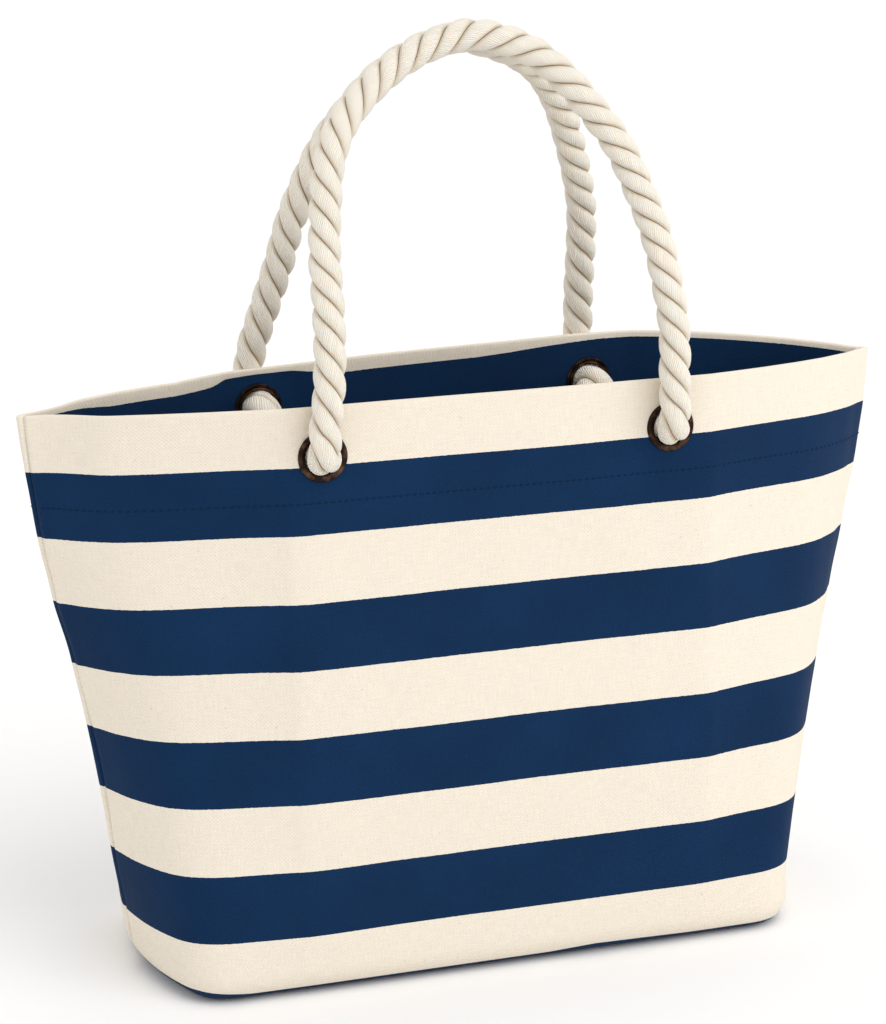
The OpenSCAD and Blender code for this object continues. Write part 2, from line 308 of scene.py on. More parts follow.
@dataclass(frozen=True)
class StripedCanvas:
    """Heavy cotton canvas, yarn-dyed in broad stripes: matt, a little furry, with slubs and seed specks."""

    cream: str = "#E6DCCC"
    speck: str = "#A88D66"
    navy: str = "#0F3156"
    deep_navy: str = "#0B2340"
    first_stripe: float = 35.5
    navy_width: float = 40.0
    period: float = 80.4
    ragged: float = 0.5
    # The real threads are about 0.7 mm apart, which is too fine to show, so they are drawn at 1.1 mm.
    thread: float = 1.1

    def build(self) -> Material:
        """Makes the material, which reads the map named cloth: metres across and down the cloth."""
        material, tree, shader = start_material(
            "yarn_dyed_cotton_canvas", Roughness=0.88, Specular_IOR_Level=0.08, Sheen_Weight=0.03,
            Sheen_Roughness=0.5)
        cloth = add(tree, "ShaderNodeUVMap", uv_map="cloth").outputs[0]
        across, down = (math_node(tree, "MULTIPLY", part, 1 / MM) for part in
                        add(tree, "ShaderNodeSeparateXYZ", {0: cloth}).outputs[:2])
        rate = math.pi / self.thread
        warp, weft = (math_node(tree, "SINE", math_node(tree, "MULTIPLY", way, rate))
                      for way in (across, down))
        weave = math_node(tree, "MULTIPLY", warp, weft)
        slubs = self._slubs(tree, cloth)
        # the weave's height is also painted into the colour: painted shade where the threads lie low and
        # painted light where they ride high; the slubs add the yarns' own thick and thin tone
        shade = math_node(tree, "MULTIPLY_ADD", weave, 0.030, slubs)
        tinted(tree, shader, self._dye(tree, cloth, down), math_node(tree, "ADD", shade, 1.0))
        height = math_node(tree, "ADD", weave, math_node(tree, "MULTIPLY", slubs, 2.5))
        raised(tree, shader, height, 0.35, 0.00025)
        return material

    def _slubs(self, tree: Tree, cloth: Socket) -> Socket:
        """Adds the thick and thin places of the two sets of threads, about 0, and returns their sum."""
        lines = [speckle(tree, stretch(tree, cloth, scale), 1.0, 2.0)
                 for scale in ((90.0, 1400.0, 1.0), (1400.0, 90.0, 1.0))]
        return math_node(tree, "ADD", *(math_node(tree, "MULTIPLY_ADD", line, 0.16, -0.08) for line in lines))

    def _dye(self, tree: Tree, cloth: Socket, down: Socket) -> Socket:
        """Adds the stripes: cream with seed specks, and unevenly dyed navy, with a slightly ragged edge."""
        edge = math_node(tree, "MULTIPLY_ADD", speckle(tree, cloth, 420.0, 1.0), self.ragged, down)
        level = math_node(tree, "SUBTRACT", edge, self.first_stripe + self.ragged / 2)
        turns = math_node(tree, "FRACT", math_node(tree, "DIVIDE", level, self.period))
        stripe = math_node(tree, "LESS_THAN", turns, self.navy_width / self.period)
        fleck = remap(tree, speckle(tree, cloth, 310.0, 2.0), 0.70, 0.80, 0.0, 0.35)
        cream = mixed(tree, fleck, linear(self.cream), linear(self.speck))
        cloud = speckle(tree, cloth, 14.0, 3.0)
        navy = mixed(tree, cloud, linear(self.deep_navy), linear(self.navy))
        return mixed(tree, stripe, cream, navy)


@dataclass(frozen=True)
class PlainCotton:
    """Plain woven cotton: tape or thread, matt, with a fine cross weave or twist."""

    name: str
    colour: str
    pitch: float = 0.9
    depth: float = 0.2

    def build(self) -> Material:
        """Makes the material from Object coordinates."""
        material, tree, shader = start_material(self.name, Roughness=0.9, Specular_IOR_Level=0.08,
                                                Sheen_Weight=0.03)
        here = add(tree, "ShaderNodeTexCoord").outputs["Object"]
        tiny = 1 / (self.pitch * MM)
        threads = speckle(tree, stretch(tree, here, (tiny, tiny, tiny)), 1.0, 2.0)
        tinted(tree, shader, linear(self.colour)[:3], math_node(tree, "MULTIPLY_ADD", threads, 0.4, 0.8))
        raised(tree, shader, threads, 0.5, self.depth * MM)
        return material


@dataclass(frozen=True)
class LaidCotton:
    """Three-strand cotton rope: soft natural yarns that twist against the lay, with painted shade in the
    valleys between the yarns and shadowed grooves.
    """

    cotton: str = "#FFF8EC"
    valley_shade: str = "#EAD7B8"
    shaded: str = "#D9BE98"
    groove: str = "#4A3826"
    yarns: int = 46

    def build(self) -> Material:
        """Makes the material, which reads the maps named yarn and strand."""
        material, tree, shader = start_material(
            "laid_cotton_rope", Roughness=0.9, Specular_IOR_Level=0.2, Sheen_Weight=0.1, Sheen_Roughness=0.6,
            Subsurface_Weight=0.3, Subsurface_Radius=(1.0, 0.75, 0.5), Subsurface_Scale=0.003)
        yarn, strand = (add(tree, "ShaderNodeUVMap", uv_map=name).outputs[0] for name in ("yarn", "strand"))
        turn, inside = (add(tree, "ShaderNodeSeparateXYZ", {0: layer}).outputs[0] for layer in (yarn, strand))
        phase = math_node(tree, "MULTIPLY_ADD", speckle(tree, yarn, 9.0, 2.0), 5.0, math_node(
            tree, "MULTIPLY", turn, 2 * math.pi * self.yarns))
        ridge = math_node(tree, "SINE", phase)
        fine = speckle(tree, stretch(tree, yarn, (260.0, 40.0, 1.0)), 1.0, 3.0)
        # where a yarn's ridge runs low the colour darkens: painted shade in the valleys between the yarns
        low = remap(tree, ridge, -0.1, -1.0, 0.0, 0.75)
        soft = mixed(tree, low, linear(self.cotton), linear(self.valley_shade))
        # the strand coordinate is 0 at a groove, 0.5 on a strand's crown and 1 at the next groove
        off = math_node(tree, "ABSOLUTE", math_node(tree, "SUBTRACT", inside, 0.5))
        # painted shade darkens each strand's flanks towards the grooves, and a dark painted shadow line,
        # broken by noise, lies in each groove
        shade = mixed(tree, remap(tree, off, 0.36, 0.49, 0.0, 0.75), soft, linear(self.shaded))
        broken = math_node(tree, "MULTIPLY_ADD", speckle(tree, strand, 110.0, 1.0), 0.05, off)
        colour = mixed(tree, remap(tree, broken, 0.495, 0.52, 0.0, 0.85), shade, linear(self.groove))
        tinted(tree, shader, colour, math_node(tree, "MULTIPLY_ADD", fine, 0.5, 0.8))
        raised(tree, shader, math_node(tree, "MULTIPLY_ADD", fine, 0.8, ridge), 0.85, 0.0004)
        return material


@dataclass(frozen=True)
class AntiqueBronze:
    """Brass, plated and darkened to antique bronze: dark brown, half polished, rubbed brighter in places."""

    dark: str = "#2B201B"
    rubbed: str = "#6B5040"

    def build(self) -> Material:
        """Makes the material from Object coordinates."""
        material, tree, shader = start_material("antique_bronze_brass", Metallic=1.0)
        here = add(tree, "ShaderNodeTexCoord").outputs["Object"]
        patches = speckle(tree, here, 160.0, 4.0)
        worn = remap(tree, patches, 0.45, 0.75, 0.0, 1.0)
        colour = mixed(tree, worn, linear(self.dark), linear(self.rubbed))
        tree.links.new(colour, shader.inputs["Base Color"])
        tree.links.new(remap(tree, patches, 0.3, 0.8, 0.42, 0.28), shader.inputs["Roughness"])
        raised(tree, shader, speckle(tree, here, 900.0, 2.0), 0.15, 0.0002)
        return material


# the shape of the cloth


def quarters(shares: tuple[float, ...], signs: tuple[int, int, int, int]) -> Array:
    """Repeats a quarter's stations round the whole loop: front right, rear right, rear left, front left."""
    n = len(shares) - 1
    steps = [m if q % 2 == 0 else n - m for q in range(4) for m in range(n)]
    return np.array([shares[s] * signs[i // n] for i, s in enumerate(steps)])


# by height, how far the left end stands out, and how far the right end does
LEFT_LEAN = ((0, 100, 140, 170, 200, 230, 260, 290, 310, 330, 346),
             (0, 0, 0.6, 1.4, 3.2, 6, 7.8, 8.2, 8.4, 7.6, 6.5))
RIGHT_LEAN = ((0, 20, 35, 70, 110, 150, 190, 230, 270, 310, 346),
              (-10, -11, -11.5, -8, -3.8, 0, 1.6, 2, 2.5, 2.8, 0))
# from left to right along the rear rim, how far it dips
REAR_DIP = ((-272, -215, -165, -130, -110, -40, 50, 90, 150, 272), (0, 4, 7, 5.8, 5, 2, 0, -1, -0.8, 0))
# from left to right along the rear rim, how much lower the stripes on the hem sit than they would
HEM_SLIP = ((-240, -205, -140, -112, -85, -55, 30, 70, 110), (0, 4, 4.5, 1.5, 1.5, 5, 4.5, 2.5, 0))
# from left to right across a panel, how much sooner the stripes come at the bottom fold than they would
FOLD_SLIP = ((-205, -185, -165, 25, 55, 120, 205), (10.5, 8.5, 6.2, 6.2, 8.9, 6.4, 5.6))


@dataclass(frozen=True)
class BagShape:
    """The outside of the bag: a loop of stations that changes from the rim's outline to the base's.

    Stations run 0 at the front centre, 16 at the right tip, 32 at the rear centre and 48 at the left tip.
    """

    rim_w: float
    height: float
    base_d: float
    rim_open: float = 130.0
    base_l: float = 426.0
    rim_drop: float = 7.0
    edge_r: float = 18.0
    corner_soft: float = 8.0
    cloth: float = 1.6
    hem: float = 60.0
    allowance: float = 11.0
    eyelet_spacing: float = 216.0
    eyelet_drop: float = 29.0
    eyelet_shift: float = -3.4
    seam_lean: float = 0.45
    rim_x: tuple[float, ...] = (0, .119, .237, .356, .474, .519, .563, .607, .652, .696, .741, .785, .83,
                                .874, .919, .959, 1)
    rim_y: tuple[float, ...] = (1, 1, 1, 1, 1, .969, .923, .869, .808, .738, .662, .577, .485, .377, .262,
                                .138, 0)
    base_x: tuple[float, ...] = (0, .146, .291, .437, .582, .638, .695, .751, .808, .86, .903, .934, .954,
                                 .972, .986, .996, 1)
    base_y: tuple[float, ...] = (1, 1, 1, 1, 1, 1, 1, 1, .996, .968, .907, .81, .685, .535, .375, .193, 0)
    soft_y: tuple[float, ...] = (0, 0, 0, 0, 0, .3, .6, .85, 1, 1, .85, .6, .35, .15, .05, 0, 0)

    def _stations(self, station: Array, values: Array) -> Array:
        """Reads values at any station with a smooth curve through the whole ones."""
        i = np.floor(station).astype(int)
        f = station - i
        n = len(values)
        a, b, c, d = (values[(i + o) % n] for o in (-1, 0, 1, 2))
        return b + 0.5 * f * (c - a + f * (2 * a - 5 * b + 4 * c - d + f * (3 * (b - c) + d - a)))

    def outline(self, station: Array, w: Array) -> tuple[Array, Array]:
        """The outline's X and Y at a station; w runs from 0 at the rim to 1 at the ground."""
        rim_x, base_x = (self._stations(station, quarters(shares, (1, 1, -1, -1)))
                         for shares in (self.rim_x, self.base_x))
        rim_y, base_y, soft = (self._stations(station, quarters(shares, (-1, 1, 1, -1)))
                               for shares in (self.rim_y, self.base_y, self.soft_y))
        x = rim_x * self.rim_w / 2 * (1 - w) + base_x * self.base_l / 2 * w
        y = (rim_y * self.rim_open / 2 * (1 - w) + base_y * self.base_d / 2 * w
             - soft * self.corner_soft * 4 * w * (1 - w))
        return x, y

    def normal(self, station: Array, w: Array) -> tuple[Array, Array]:
        """The outline's outward direction, level."""
        x0, y0 = self.outline(station - 0.15, w)
        x1, y1 = self.outline(station + 0.15, w)
        size = np.hypot(x1 - x0, y1 - y0)
        return (y1 - y0) / size, -(x1 - x0) / size

    def rim_z(self, station: Array) -> Array:
        """Height of the rim at a station: level between the bends of its outline, lower towards the tips."""
        share = np.abs(self._stations(station, quarters(self.rim_x, (1, 1, -1, -1))))
        bend = self.rim_x[4]
        return self.height - self.rim_drop * (np.maximum(0, share - bend) / (1 - bend)) ** 1.5

    def seam_shift(self, w: Array) -> Array:
        """How many stations a side seam sits round from the tip; it sits further round at the rim."""
        return self.seam_lean * (1 - 0.8 * w)

    @property
    def tilt(self) -> float:
        """Lean of the long walls from upright, in radians."""
        return math.atan((self.base_d - self.rim_open) / 2 / self.height)

    @property
    def fold_r(self) -> float:
        """Radius of the cloth's outside where it turns over the rim."""
        return self.cloth * 1.03

    @property
    def rim_run(self) -> float:
        """Length of cloth from the top of the rim to the wall."""
        return math.pi / 2 * self.fold_r

    @property
    def wall_run(self) -> float:
        """Length of cloth from the rim fold to the bottom fold, at the middle."""
        return (self.height - self.fold_r - self.edge_r) / math.cos(self.tilt)

    @property
    def fold_run(self) -> float:
        """Length of cloth round the bottom fold."""
        return math.pi / 2 * self.edge_r

    @property
    def base_run(self) -> float:
        """Length of cloth from the bottom fold to the seam under the base."""
        return self.base_d / 2 - self.edge_r

    def eyelet_x(self, face: Face, end: End) -> float:
        """Distance of an eyelet to the right of the middle, as its wall is faced."""
        return -face.value * (end.value * self.eyelet_spacing / 2 + self.eyelet_shift)

    def settle(self, points: Array) -> Array:
        """Moves points of the cloth as the standing bag settles: ends that lean, a rear rim that dips.

        Args:
            points: Points in the bag's own frame.

        Returns:
            The points, moved by a few millimetres.
        """
        x, y, z = points.T
        left = np.interp(z, *LEFT_LEAN) * smooth(120, 262, -x)
        right = np.interp(z, *RIGHT_LEAN) * smooth(90, 215, x)
        pinch = 1 - 0.42 * smooth(222, 258, -x) * smooth(250, 335, z)
        # beside an eyelet only the top 14 mm of the wall dips, so that the eyelet keeps its place
        hole = np.min([np.abs(x + self.eyelet_x(Face.REAR, end)) for end in End], axis=0)
        low = self.height - 14 - 120 * smooth(20, 55, hole)
        rear = smooth(-8, 22, y)
        dip = np.interp(x, *REAR_DIP) * smooth(0, 1, (z - low) / (self.height - low)) * rear
        return np.stack([x + right - left, y * pinch, z - dip], axis=1)

    def eyelet_matrix(self, face: Face, end: End) -> Matrix:
        """An eyelet's place, in millimetres: X right as its wall is faced, -Y outwards, Z up the wall."""
        there = Matrix.Translation((self.eyelet_x(face, end), -self.rim_open / 2, self.height))
        tipped = there @ Matrix.Rotation(-self.tilt, 4, "X") @ Matrix.Translation((0, 0, -self.eyelet_drop))
        return tipped if face is Face.FRONT else Matrix.Rotation(math.pi, 4, "Z") @ tipped


def stitches(name: str, spots: list[Triple], long: float, wide: float, material: Material) -> Piece:
    """Sews a row of stitches.

    Args:
        name: The piece's name.
        spots: For each stitch its middle, its direction and the cloth's outward direction.
        long: Length of a stitch.
        wide: Thickness of the thread.
        material: The thread finish.

    Returns:
        All the stitches as one piece.
    """
    one = bmesh.new()
    bmesh.ops.create_uvsphere(one, u_segments=6, v_segments=5, radius=0.5)
    for vertex in one.verts:
        reach = abs(vertex.co.z) * 2
        vertex.co.x *= wide
        # a stitch's ends dive into the cloth
        vertex.co.y = vertex.co.y * wide * 0.9 - 0.12 * reach ** 3
        vertex.co.z *= long
    template = bpy.data.meshes.new("stitch")
    one.to_mesh(template)
    one.free()
    bm = bmesh.new()
    for middle, along, out in spots:
        start = len(bm.verts)
        bm.from_mesh(template)
        bm.verts.ensure_lookup_table()
        turn = Matrix(np.array([np.cross(along, out), out, along]).T.tolist()).to_4x4()
        turn.translation = Vector(middle)
        bmesh.ops.transform(bm, matrix=Matrix.Scale(MM, 4) @ turn, verts=bm.verts[start:])
    bpy.data.meshes.remove(template)
    return finish_mesh(bm, name, material)


@dataclass
class CanvasPanel:
    """One striped panel: hem, wall, bottom fold and half the base, with seam allowances on three sides."""

    shape: BagShape
    face: Face
    thick: float = 1.5
    columns: int = 196
    hole_r: float = 11.4
    turn_in: int = 3
    # half the gap between the two panels at a seam, and the gap between the cloth and the ground
    seam_gap: float = 0.12
    lift: float = 0.25
    stitch_pitch: float = 4.1
    stitch_in: float = 3.0
    stitch_size: tuple[float, float] = (3.1, 0.75)
    rows: dict[str, int] = field(default_factory=lambda: {
        "hem": 20, "rim": 6, "wall": 116, "fold": 10, "base": 17, "seam": 3})

    @property
    def word(self) -> str:
        """The word that starts the panel's names."""
        return "front" if self.face is Face.FRONT else "back"

    @property
    def turn(self) -> Array:
        """What the points of a front panel are multiplied by to be this panel's."""
        return np.array([-self.face.value, -self.face.value, 1])

    def _levels(self) -> Array:
        """Distance of each row down the cloth from the top of the rim, by the middle column."""
        s = self.shape
        fold = s.rim_run + s.wall_run
        base = fold + s.fold_run
        seam = base + s.base_run
        ends = [-s.hem, -s.rim_run, s.rim_run, fold, base, seam, seam + s.allowance]
        spans = [np.linspace(a, b, n, endpoint=False) for a, b, n in zip(ends, ends[1:], self.rows.values())]
        return np.concatenate([*spans, ends[-1:]])

    def _column_stations(self) -> tuple[Array, Array]:
        """Stations of columns that are evenly spaced at mid height, and their distance from the middle."""
        k = np.linspace(-16, 16, 1601)
        x, y = self.shape.outline(k, np.full_like(k, 0.35))
        run = lengths(np.stack([x, y], axis=1))
        run -= run[len(run) // 2]
        at = np.linspace(run[0], run[-1], self.columns + 1)
        return np.interp(at, run, k), at

    def _ease(self, station: Array, z: Array) -> Array:
        """How far the cloth stands out from the plain outline: soft waves, and pulls beside the seams."""
        s = self.shape
        x, _ = s.outline(station, 1 - z / s.height)
        turn = self.face.value
        wave = np.array([noise.noise((a / 95 + 3.7 * turn, b / 120, 0.4 + turn)) for a, b in zip(x, z)])
        ripple = np.array([noise.noise((a / 34 + 9.1, b / 60, 2.2 * turn)) for a, b in zip(x, z)])
        seam = np.abs(np.abs(station) - 16)
        groove = np.exp(-(seam / 0.12) ** 2) * smooth(10, 30, z)
        pull = np.exp(-seam / 1.1) * np.sin(z / 11 + 2.1 * np.sin(z / 37)) * smooth(20, 70, z)
        to_hole = np.min([np.hypot(x - s.eyelet_x(self.face, end), (z - s.height + s.eyelet_drop) / 1.2)
                          for end in End], axis=0)
        flat = smooth(22, 60, to_hole)
        calm = flat * (1 - 0.75 * smooth(s.height - 50, s.height, z)) * smooth(0, 60, z)
        return (2.2 * wave + 0.7 * ripple) * calm + 0.35 * pull * flat - groove

    def _points(self, station: Array, t: Array) -> Array:
        """Places points of the cloth.

        Args:
            station: The station of each point.
            t: Its distance down the cloth from the top of the rim.

        Returns:
            The points, in millimetres.
        """
        s = self.shape
        r, rim, top = s.fold_r, s.rim_run, s.rim_z(station)
        over = np.clip(t, -rim, rim) / r
        down = np.clip((t - rim) / s.wall_run, 0, 1)
        bend = np.clip((t - rim - s.wall_run) / s.edge_r, 0, math.pi / 2)
        z_outside = (top - r) * (1 - down) + s.edge_r * down
        z = np.where(t < rim, top - r + r * np.cos(over) + np.minimum(t + rim, 0), z_outside)
        z = np.where(bend > 0, s.edge_r * (1 - np.sin(bend)), z)
        inset = np.where(t < rim, r - r * np.sin(over), s.edge_r * (1 - np.cos(bend)))
        w = 1 - z / s.height
        # only the columns near a side seam move round with it
        k = station + s.seam_shift(w) * (np.abs(station) / 16) ** 6
        x, y = s.outline(k, w)
        nx, ny = s.normal(k, w)
        out = self._ease(station, z) - inset
        under = t - rim - s.wall_run - s.fold_run
        to_seam = np.clip(under / s.base_run, 0, 1)
        y = (y + ny * out) * (1 - to_seam) - self.seam_gap * to_seam
        up = np.maximum(0, under - s.base_run)
        return np.stack([x + nx * out, y, z + up + self.lift], axis=1)

    def _allowance(self, points: Array, column: Array, station: Array, t: Array) -> Array:
        """Turns the outer columns in along the side seams, where the wall has an allowance.

        Args:
            points: The points as placed, all on the outline.
            column: Each point's column, under 0 or over the last one in an allowance.
            station: Each point's station.
            t: Each point's distance down the cloth.

        Returns:
            The points, with the allowances turned in.
        """
        s = self.shape
        beyond = np.maximum(np.maximum(-column, column - self.columns), 0) / self.turn_in
        # the allowance fades over 14 mm, and is gone 6 mm before the hem's edge and the bottom fold
        start, end = s.hem + 6, s.rim_run + s.wall_run - 6
        wide = beyond * (s.allowance + 2) * smooth(start, start + 14, t) * (1 - smooth(end - 14, end, t))
        points[:, 0] -= np.sign(station) * wide
        points[:, 1] -= self.seam_gap * (np.abs(station) > 15.99)
        return points

    def _round_holes(self, bm: BMesh, across: Array, t: Array) -> list[bmesh.types.BMFace]:
        """Draws the cloth's grid round the eyelet holes in wall and hem.

        Args:
            bm: The flat grid.
            across: Each vertex's distance from the middle.
            t: Each vertex's distance down the cloth.

        Returns:
            The faces inside the holes.
        """
        s = self.shape
        spots = [(s.eyelet_x(self.face, end), sign * s.eyelet_drop) for end in End for sign in (-1, 1)]
        gone, edge = [], {}
        for face in bm.faces:
            ids = [v.index for v in face.verts]
            for n, (u, v) in enumerate(spots):
                if np.hypot(across[ids].mean() - u, t[ids].mean() - v) < self.hole_r - 0.4:
                    gone.append(face)
                    edge.update({i: n for i in ids})
        doomed = set(gone)
        rim = {i: n for i, n in edge.items() if any(f not in doomed for f in bm.verts[i].link_faces)}
        for i, n in rim.items():
            u, v = spots[n]
            far = math.hypot(across[i] - u, t[i] - v)
            across[i] = u + (across[i] - u) * self.hole_r / far
            t[i] = v + (t[i] - v) * self.hole_r / far
        near = [v for v in bm.verts if v.index not in edge and any(
            math.hypot(across[v.index] - a, t[v.index] - b) < self.hole_r * 1.7 for a, b in spots)]
        for _ in range(6):
            for v in near:
                ids = [e.other_vert(v).index for e in v.link_edges]
                across[v.index], t[v.index] = across[ids].mean(), t[ids].mean()
        return gone

    def _map_cloth(self, bm: BMesh, across: dict, t: dict, drift: dict, points: dict) -> None:
        """Writes the map named cloth: metres across and down the flat cloth; the base is cut square to it.

        Args:
            bm: The panel.
            across: Each vertex's distance from the middle.
            t: Its distance down the cloth.
            drift: How far its stripes are off.
            points: Its place before the bag settles.
        """
        s = self.shape
        layer = bm.loops.layers.uv.new("cloth")
        base = s.rim_run + s.wall_run + s.fold_run
        for face in bm.faces:
            under = sum(t[v] for v in face.verts) / len(face.verts) > base
            for loop in face.loops:
                v = loop.vert
                x = points[v][0] if under else across[v]
                down = base + s.base_run - abs(points[v][1]) if under else t[v]
                loop[layer].uv = (x * MM, (down + drift[v]) * MM)

    def _drift(self, across: Array, t: Array) -> Array:
        """How far the stripes are off their even places, where the hem and the bottom fold were made askew.

        Args:
            across: Each point's distance from the middle.
            t: Its distance down the cloth.

        Returns:
            The distance to add to each point's place down the cloth.
        """
        fold = self.shape.rim_run + self.shape.wall_run
        hem = 0 if self.face is Face.FRONT else np.interp(-across, *HEM_SLIP) * smooth(0, 8, -t)
        return hem + np.interp(across, *FOLD_SLIP) * smooth(fold - 14, fold + 4, t)

    def hem_stitches(self, thread: Material) -> Piece:
        """Sews the hem: the same row of stitches outside and inside."""
        s = self.shape
        stations, spread = self._column_stations()
        at = np.arange(spread[0] + 5, spread[-1] - 5, self.stitch_pitch)
        station = [np.interp(at + step, spread, stations) for step in (0, 0.5)]
        spots = []
        for level in (s.hem - self.stitch_in, -s.hem + self.stitch_in):
            middle, ahead, below = (s.settle(self._points(k, np.full_like(at, level + drop)) * self.turn)
                                    for k, drop in ((station[0], 0), (station[1], 0), (station[0], 0.5)))
            along = unit(ahead - middle)
            out = unit(-np.cross(along, below - middle))
            spots += list(zip(middle + 0.1 * out, along, out))
        return stitches(f"{self.word}_hem_stitches", spots, *self.stitch_size, thread)

    def build(self, material: Material) -> Piece:
        """Makes the panel of a canvas finish."""
        s = self.shape
        levels = self._levels()
        bm, column, row = grid_mesh(self.columns + 2 * self.turn_in, len(levels) - 1)
        bm.verts.ensure_lookup_table()
        stations, spread = self._column_stations()
        column = column - self.turn_in
        inner = np.clip(column, 0, self.columns)
        across, t = spread[inner].astype(float), levels[row]
        holes = self._round_holes(bm, across, t)
        station = np.interp(across, spread, stations)
        points = self._allowance(self._points(station, t), column, station, t)
        place(bm, s.settle(points * self.turn))
        verts = list(bm.verts)
        self._map_cloth(bm, *(dict(zip(verts, values)) for values in (
            across + (column - inner) * 4, t, self._drift(across, t), points)))
        bmesh.ops.delete(bm, geom=holes, context="FACES")
        bmesh.ops.remove_doubles(bm, verts=bm.verts, dist=0.2 * MM)
        bm.normal_update()
        spot = Vector((0, self.face.value * 0.08, 0.18))
        middle = min(bm.faces, key=lambda f: (f.calc_center_median() - spot).length)
        if middle.normal.y * self.face.value < 0:
            bmesh.ops.reverse_faces(bm, faces=bm.faces)
        panel = finish_mesh(bm, f"{self.word}_canvas_panel", material)
        thicken(panel, self.thick, -1.0)
        return panel


# rope


@dataclass
class RopeHandle:
    """One handle: rope from a knot inside, out through an eyelet, up, over and back in at the other."""

    shape: BagShape
    face: Face
    # X as a share of half the eyelet spacing, lean towards the middle and rise as shares
    curve: tuple[tuple[float, float, float], ...]
    rise: float
    radius: float = 10.0
    out: float = 12.5
    behind: float = 5.0
    into_knot: float = 18.0
    sideways: float = 2.0
    gap: float = 0.6
    half_bend: float = 1.6
    lay: float = 46.5
    strands: int = 3
    yarn_angle: float = 16.0
    yarn_bow: float = 0.035
    around: int = 24
    spacing: float = 1.2

    @property
    def name(self) -> str:
        """The word that starts the handle's names."""
        return self.face.name.lower()

    def hinge(self) -> Vector:
        """The hinge line's point outside the left eyelet, in millimetres."""
        return self.shape.eyelet_matrix(self.face, End.LEFT) @ Vector((0, -self.out, 0))

    def _elbow(self, end: End) -> list[tuple[float, ...]]:
        """Points from the knot inside, through the eyelet and up outside it, in millimetres."""
        r = self.radius - 0.4
        inside = self.shape.cloth * 2 + self.behind + self.radius
        side = [(-inside, -self.into_knot), (-inside, -r), *arc((r - inside, -r), r, 180, 90, 6)[1:],
                (0.0, 0.0), *arc((self.out - r, r), r, -90, 0, 6)]
        there = self.shape.eyelet_matrix(self.face, end)
        lean = self.sideways * self.face.value
        return [tuple(there @ Vector((lean * max(0, o) / self.out, -o, p))) for o, p in side]

    def path(self) -> Array:
        """The line down the middle of the rope, from the left knot to the right one."""
        s = self.shape
        hinge = self.hinge()
        deep, high = abs(hinge.y), hinge.z
        over = [(s.eyelet_spacing / 2 * x + s.eyelet_shift,
                 self.face.value * (deep - (deep - self.radius - self.gap) * lean),
                 high + self.rise * up) for x, lean, up in self.curve[1:-1]]
        left, right = (self._elbow(end) for end in End)
        return through(np.array([*left, *over, *right[::-1]]), self.spacing)

    def build(self, material: Material) -> tuple[Piece, Array]:
        """Makes the rope, and returns it with the points of its middle line, in millimetres."""
        line = self.path()
        run = self.spacing * np.arange(len(line))
        to_knot = np.minimum(run, run[-1] - run)
        # the rope is thicker near an eyelet and thickest in it, so that it fills the hole
        taper = 1 + 0.1 * smooth(46, 36, to_knot) + 0.25 * smooth(26, 14, to_knot)
        return laid_rope(f"{self.name}_rope_handle", line, self, material, taper), line


def lobe(share: Array, crown: float = 0.95, groove: float = 0.67, power: float = 2.6) -> Array:
    """A strand's outside as a share of the rope's radius; share runs from -1 to 1 between its grooves."""
    return crown - (crown - groove) * np.abs(share) ** power


def laid_rope(name: str, line: Array, sizes: RopeHandle, material: Material, taper: Array) -> Piece:
    """Sweeps a three-strand rope along a line.

    Args:
        name: The piece's name.
        line: The points of its middle line.
        sizes: The rope's radius, lay, strands and faces round each strand.
        material: The rope finish.
        taper: A share of the radius at each point.

    Returns:
        The rope, closed at both ends.
    """
    around = sizes.strands * sizes.around
    bm, column, row = grid_mesh(around, len(line) - 1)
    heading, side, up = along_line(line)
    run = lengths(line)
    turn = 2 * np.pi * (column / around - run[row] / sizes.lay)
    radius = sizes.radius * lobe((column % sizes.around) / sizes.around * 2 - 1) * taper[row]
    # the inside of a tight bend can't reach past the bend's own centre
    curl = np.gradient(heading, run, axis=0)
    offset = np.cos(turn)[:, None] * side[row] + np.sin(turn)[:, None] * up[row]
    inward = np.maximum(0, (offset * curl[row]).sum(1))
    radius = np.minimum(radius, 0.97 / np.maximum(inward, 1e-6))
    place(bm, line[row] + offset * radius[:, None])
    write_rope_maps(bm, column, row, run, sizes)
    bmesh.ops.remove_doubles(bm, verts=bm.verts, dist=0.002 * MM)
    bmesh.ops.holes_fill(bm, edges=[e for e in bm.edges if e.is_boundary], sides=0)
    bmesh.ops.recalc_face_normals(bm, faces=bm.faces)
    return finish_mesh(bm, name, material)


def write_rope_maps(bm: BMesh, column: Array, row: Array, run: Array, sizes: RopeHandle) -> None:
    """Writes the maps yarn (turns round the rope against the lay, metres along) and strand (across one).

    Args:
        bm: The rope's grid.
        column: Each vertex's column.
        row: Each vertex's row.
        run: Distance along the rope at each row.
        sizes: The rope's lay, strands and faces round each strand.
    """
    yarn, strand = (bm.loops.layers.uv.new(name) for name in ("yarn", "strand"))
    around = sizes.strands * sizes.around
    lean = math.tan(math.radians(sizes.yarn_angle)) / (2 * math.pi * sizes.radius)
    for face in bm.faces:
        low = min(column[v.index] for v in face.verts)
        for loop in face.loops:
            i = loop.vert.index
            across = (low % sizes.around + (column[i] - low)) / sizes.around
            bow = sizes.yarn_bow * (2 * across - 1) ** 3
            turn = column[i] / around + bow - run[row[i]] * (1 / sizes.lay + lean)
            loop[yarn].uv = (turn, run[row[i]] * MM)
            loop[strand].uv = (across, run[row[i]] * MM)


# eyelets, knots and whippings


